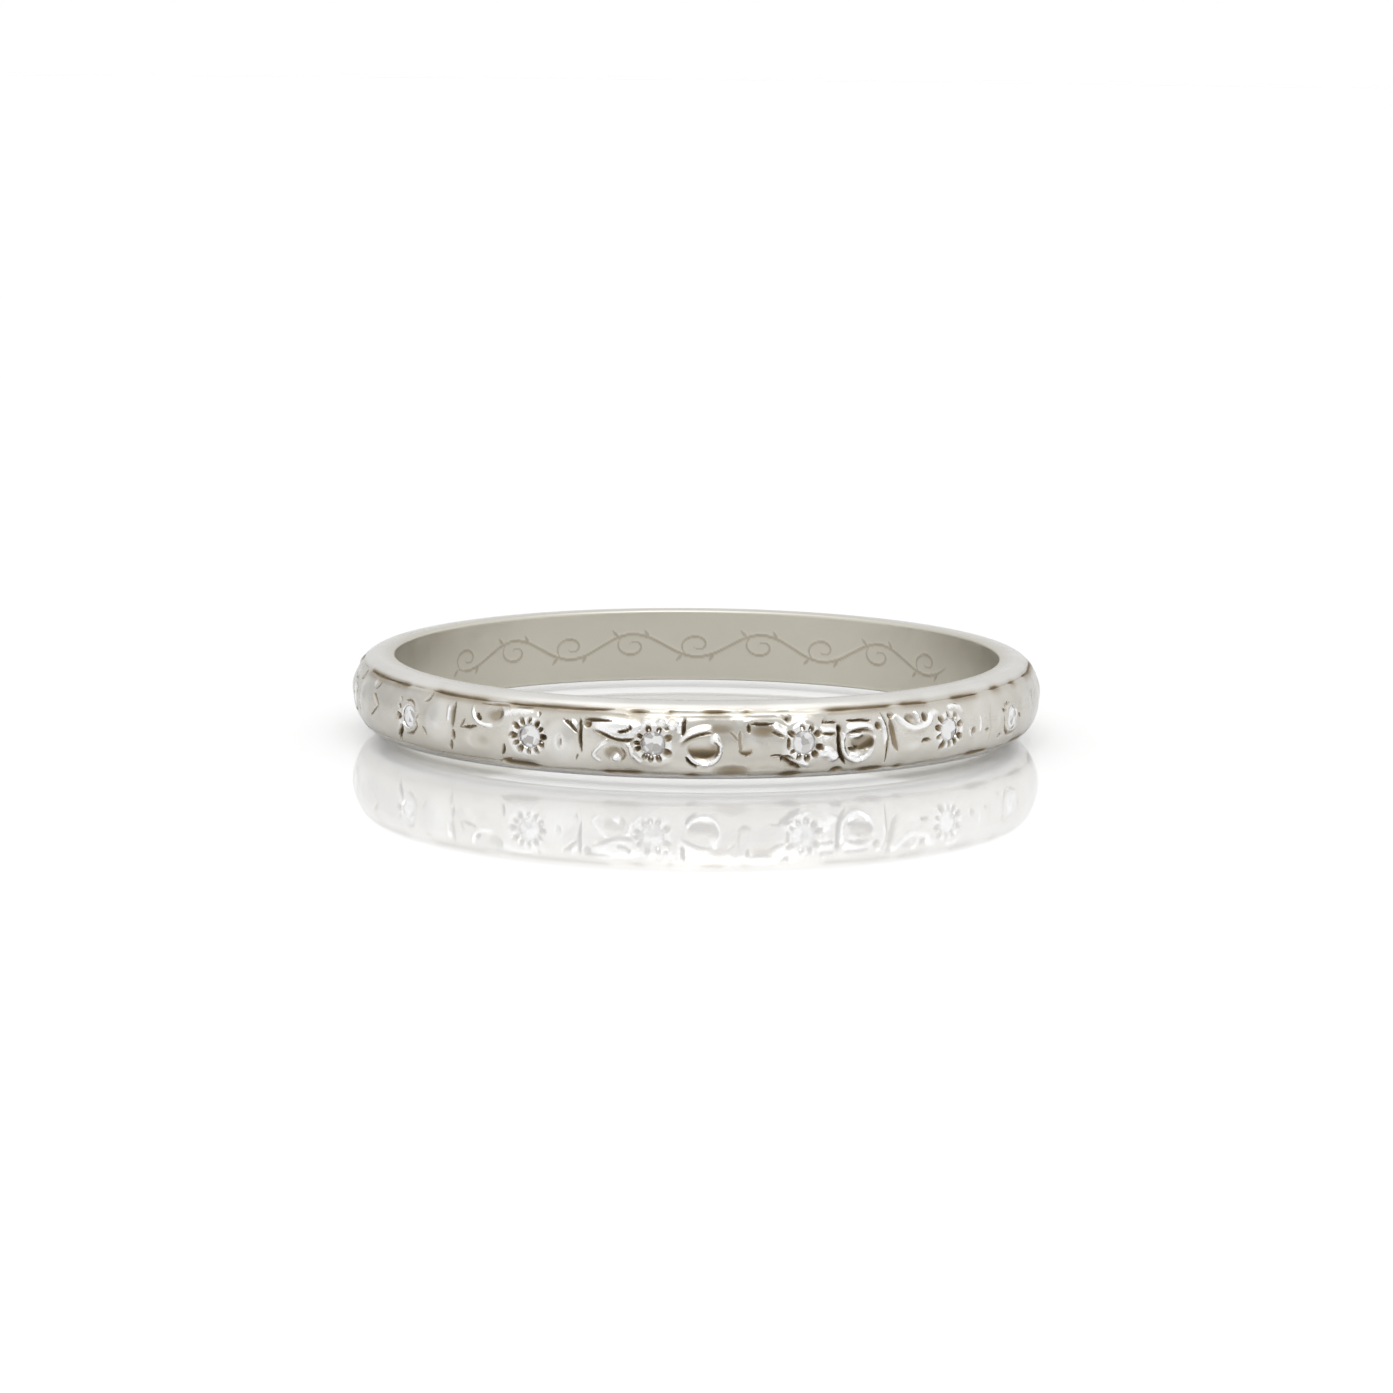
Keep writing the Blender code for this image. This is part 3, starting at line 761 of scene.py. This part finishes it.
def edge_faces(outer, inner, columns, upper):
    """The flat edge between an outer row and a bore row, which has only some of the columns."""
    faces = []
    for number, column in enumerate(columns):
        following = (number + 1) % len(columns)
        stop = columns[following] if following else COLUMNS
        rim = [int(outer[c % COLUMNS]) for c in range(column, stop + 1)]
        face = rim + [int(inner[following]), int(inner[number])]
        faces.append(face if upper else face[::-1])
    return faces


def build_band(material):
    """The whole band as one closed mesh, which carries its grime and painted shade, its polish and painted
    highlight, and where its bore is.
    """
    places = stone_places()
    outer, outer_grime_and_shade, outer_polish_and_highlight = outer_face(places)
    columns = bore_columns()
    bore, bore_grime = bore_face(columns)
    outer_index = np.arange(outer.shape[0] * outer.shape[1]).reshape(outer.shape[:2])
    bore_index = np.arange(bore.shape[0] * bore.shape[1]).reshape(bore.shape[:2]) + outer_index.size
    faces = grid_faces(outer_index)
    faces += grid_faces(bore_index[::-1])
    faces += edge_faces(outer_index[0], bore_index[0], columns, True)
    faces += edge_faces(outer_index[-1], bore_index[-1], columns, False)
    points = np.concatenate([outer.reshape(-1, 3), bore.reshape(-1, 3)]) * MM
    mesh = bpy.data.meshes.new("carved_band")
    mesh.from_pydata(points.tolist(), [], faces)
    for name, values in (
        ("grime_and_shade", np.concatenate([outer_grime_and_shade.ravel(), bore_grime.ravel()])),
        ("polish_and_highlight", np.concatenate([outer_polish_and_highlight.ravel(), np.zeros(bore_index.size)])),
        ("bore", np.repeat([0.0, 1.0], [outer_index.size, bore_index.size])),
    ):
        mesh.attributes.new(name, "FLOAT", "POINT").data.foreach_set("value", values)
    mesh.shade_smooth()
    mesh.set_sharp_from_angle(angle=math.radians(40))
    mesh.materials.append(material)
    band = bpy.data.objects.new("carved_band", mesh)
    bpy.context.scene.collection.objects.link(band)
    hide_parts(BAND)
    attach(band, "root")


def principled(name):
    """A new material, its node tree and its Principled shader."""
    material = bpy.data.materials.new(name)
    material.use_nodes = True
    return material, material.node_tree, material.node_tree.nodes["Principled BSDF"]


def feed(tree, socket, value):
    """Gives a socket a number, a colour, or another node's output."""
    if isinstance(value, bpy.types.NodeSocket):
        tree.links.new(value, socket)
    elif isinstance(value, tuple):
        socket.default_value = (*value, 1)
    else:
        socket.default_value = value


def attribute(tree, name):
    """A value that the mesh carries."""
    node = tree.nodes.new("ShaderNodeAttribute")
    node.attribute_name = name
    return node.outputs["Fac"]


def noise(tree, scale, detail):
    """Cloudy noise, scale times to the metre."""
    place = tree.nodes.new("ShaderNodeTexCoord")
    node = tree.nodes.new("ShaderNodeTexNoise")
    feed(tree, node.inputs["Vector"], place.outputs["Object"])
    feed(tree, node.inputs["Scale"], scale)
    feed(tree, node.inputs["Detail"], detail)
    return node.outputs["Fac"]


def mapped(tree, value, source, target, curve="LINEAR"):
    """A value moved from the source range to the target range, and held at its ends."""
    node = tree.nodes.new("ShaderNodeMapRange")
    node.interpolation_type = curve
    feed(tree, node.inputs["Value"], value)
    for name, number in zip(("From Min", "From Max", "To Min", "To Max"), (*source, *target)):
        feed(tree, node.inputs[name], number)
    return node.outputs["Result"]


def mixed(tree, factor, first, second):
    """The first colour where factor is 0, and the second where it is 1."""
    node = tree.nodes.new("ShaderNodeMix")
    node.data_type = "RGBA"
    for name, value in (("Factor", factor), ("A", first), ("B", second)):
        feed(tree, node.inputs[name], value)
    return node.outputs["Result"]


def worked_out(tree, operation, first, second):
    """The sum, product or other result of two values."""
    node = tree.nodes.new("ShaderNodeMath")
    node.operation = operation
    for socket, value in zip(node.inputs, (first, second)):
        feed(tree, socket, value)
    return node.outputs["Value"]


def white_gold():
    """Worn white gold: a warm grey metal, a duller bore, bright edges with a painted highlight, and brown
    grime in the cuts with painted shade in the hollows.
    """
    material, tree, shader = principled("worn_white_gold")
    shader.inputs["Specular Tint"].default_value = (0.8, 0.8, 0.8, 1)
    bore = attribute(tree, "bore")

    shade = mapped(tree, noise(tree, 900, 3), (0.35, 0.65), (0.0, 1.0))
    blotches = mapped(tree, noise(tree, 420, 2), (0.45, 0.75), (0.0, 0.6))
    plain = mixed(tree, blotches, mixed(tree, shade, FRESH, WORN), BLOTCHED)
    # Polish and painted highlight whiten the metal.
    metal = mixed(tree, attribute(tree, "polish_and_highlight"), mixed(tree, bore, plain, BORE_METAL), POLISH_AND_HIGHLIGHT)
    patches = mapped(tree, noise(tree, 2500, 2), (0.2, 0.7), (0.75, 1.0))
    grime_and_shade = worked_out(tree, "MULTIPLY", attribute(tree, "grime_and_shade"), patches)
    darkening = mapped(tree, grime_and_shade, DARKENING_RANGE, (0.0, 1.0))
    # Grime and painted shade turn the colour brown, then near black.
    colour = mixed(tree, darkening, mixed(tree, grime_and_shade, metal, STAIN_AND_SHADE), BLACK_CRUST_AND_SHADOW)
    feed(tree, shader.inputs["Base Color"], colour)
    feed(tree, shader.inputs["Metallic"], mapped(tree, grime_and_shade, DARKENING_RANGE, (1.0, 0.2)))

    scratches = mapped(tree, noise(tree, 1500, 4), (0.3, 0.7), (0.13, 0.24))
    bore_dullness = worked_out(tree, "MULTIPLY", bore, 0.155)
    grime_dullness = worked_out(tree, "MULTIPLY", grime_and_shade, 0.25)
    dullness = worked_out(tree, "ADD", scratches, bore_dullness)
    feed(tree, shader.inputs["Roughness"], worked_out(tree, "ADD", dullness, grime_dullness))

    bump = tree.nodes.new("ShaderNodeBump")
    bump.inputs["Strength"].default_value = 0.25
    bump.inputs["Distance"].default_value = 0.004 * MM
    feed(tree, bump.inputs["Height"], noise(tree, 2600, 3))
    feed(tree, shader.inputs["Normal"], bump.outputs["Normal"])
    return material


def diamond():
    """Diamond with a mostly white, cloudy body, which paints in the brightness of its sparkle. Dark and
    light cells are painted glints that stand in for its facets.
    """
    material, tree, shader = principled("diamond")
    shader.inputs["Transmission Weight"].default_value = 0.2
    shader.inputs["IOR"].default_value = 2.42
    shader.inputs["Roughness"].default_value = 0.04
    place = tree.nodes.new("ShaderNodeTexCoord")
    painted_glints = tree.nodes.new("ShaderNodeTexVoronoi")
    split = tree.nodes.new("ShaderNodeSeparateColor")
    feed(tree, painted_glints.inputs["Vector"], place.outputs["Object"])
    feed(tree, painted_glints.inputs["Scale"], 5600)
    feed(tree, split.inputs["Color"], painted_glints.outputs["Color"])
    # Painted glints: each cell takes its own brightness.
    brightness = mapped(tree, split.outputs["Red"], (0.12, 0.5), (0.0, 1.0))
    tint = mixed(tree, brightness, (0.45, 0.43, 0.41), (1.0, 1.0, 1.0))
    feed(tree, shader.inputs["Base Color"], tint)
    return material


def plane(name, height, material):
    """A level sheet, wide enough to fill every view."""
    bm = bmesh.new()
    bmesh.ops.create_grid(bm, x_segments=2, y_segments=2, size=3.0)
    mesh = bpy.data.meshes.new(name)
    bm.to_mesh(mesh)
    bm.free()
    mesh.materials.append(material)
    sheet = bpy.data.objects.new(name, mesh)
    sheet.location.z = height
    bpy.context.scene.collection.objects.link(sheet)


def build_floor():
    """Glossy white acrylic, under a thin clear sheet that the ring stands on."""
    acrylic, _, shader = principled("white_acrylic")
    shader.inputs["Base Color"].default_value = (0.89, 0.89, 0.89, 1)
    shader.inputs["Roughness"].default_value = 0.04
    shader.inputs["IOR"].default_value = 1.75
    plane("floor", BAND_LOW[2] - CLEAR_SHEET * MM, acrylic)

    clear, tree, shader = principled("clear_sheet")
    output = tree.nodes["Material Output"]
    tree.nodes.remove(shader)
    through = tree.nodes.new("ShaderNodeBsdfTransparent")
    shine = tree.nodes.new("ShaderNodeBsdfGlossy")
    shine.inputs["Roughness"].default_value = 0.02
    mix = tree.nodes.new("ShaderNodeMixShader")
    mix.inputs["Fac"].default_value = 0.03
    feed(tree, mix.inputs[1], through.outputs["BSDF"])
    feed(tree, mix.inputs[2], shine.outputs["BSDF"])
    feed(tree, output.inputs["Surface"], mix.outputs["Shader"])
    plane("clear_sheet", BAND_LOW[2], clear)


def softbox(name, place, size, energy):
    """An area light that faces the ring."""
    light = bpy.data.lights.new(name, "AREA")
    light.shape = "RECTANGLE"
    light.size, light.size_y = size
    light.energy = energy
    lamp = bpy.data.objects.new(name, light)
    lamp.location = place
    lamp.rotation_euler = Vector(place).to_track_quat("Z", "Y").to_euler()
    bpy.context.scene.collection.objects.link(lamp)


def build_studio():
    """A white light tent: brighter overhead, dimmer in front and at the left, and one softbox."""
    world = bpy.data.worlds.new("light_tent")
    bpy.context.scene.world = world
    world.use_nodes = True
    tree = world.node_tree
    place = tree.nodes.new("ShaderNodeTexCoord")
    split = tree.nodes.new("ShaderNodeSeparateXYZ")
    feed(tree, split.inputs["Vector"], place.outputs["Generated"])

    def dimmer(direction, edge, least):
        """1, but least round a direction; edge is the cosine where it starts and where it is full."""
        towards = tree.nodes.new("ShaderNodeVectorMath")
        towards.operation = "DOT_PRODUCT"
        feed(tree, towards.inputs[0], place.outputs["Generated"])
        towards.inputs[1].default_value = Vector(direction).normalized()
        return mapped(tree, towards.outputs["Value"], edge, (1.0, least), "SMOOTHSTEP")

    overhead = mapped(tree, split.outputs["Z"], (0.76, 0.97), (1.02, 1.5), "SMOOTHSTEP")
    front = dimmer((0.12, -1, 0.35), (0.60, 0.92), 0.78)
    left = dimmer((-0.88, 0.47, 0), (0.78, 0.96), 0.76)
    strength = worked_out(tree, "MULTIPLY", worked_out(tree, "MULTIPLY", overhead, front), left)
    background = tree.nodes["Background"]
    background.inputs["Color"].default_value = (1, 1, 1, 1)
    feed(tree, background.inputs["Strength"], strength)
    softbox("front_softbox", (0.05, -0.22, 0.36), (0.36, 0.14), 0.29)
    bpy.context.scene.view_settings.view_transform = "Standard"


def build_camera():
    """A long lens, nearly level with the ring."""
    elevation = math.radians(CAMERA_ELEVATION)
    data = bpy.data.cameras.new("camera")
    data.lens = CAMERA_LENS
    data.clip_start = 0.01
    camera = bpy.data.objects.new("camera", data)
    back = Vector((0, -math.cos(elevation), math.sin(elevation)))
    aim = Matrix.Rotation(math.radians(CAMERA_TILT), 4, "X") @ (-back)
    camera.location = back * CAMERA_DISTANCE
    roll = Matrix.Rotation(math.radians(CAMERA_ROLL), 4, "Z")
    camera.rotation_euler = (aim.to_track_quat("-Z", "Y").to_matrix().to_4x4() @ roll).to_euler()
    bpy.context.scene.collection.objects.link(camera)
    bpy.context.scene.camera = camera


build_camera()
build_studio()
build_floor()
build_band(white_gold())
glass = diamond()
for stone in STONES:
    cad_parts[stone].material_slots[0].material = glass
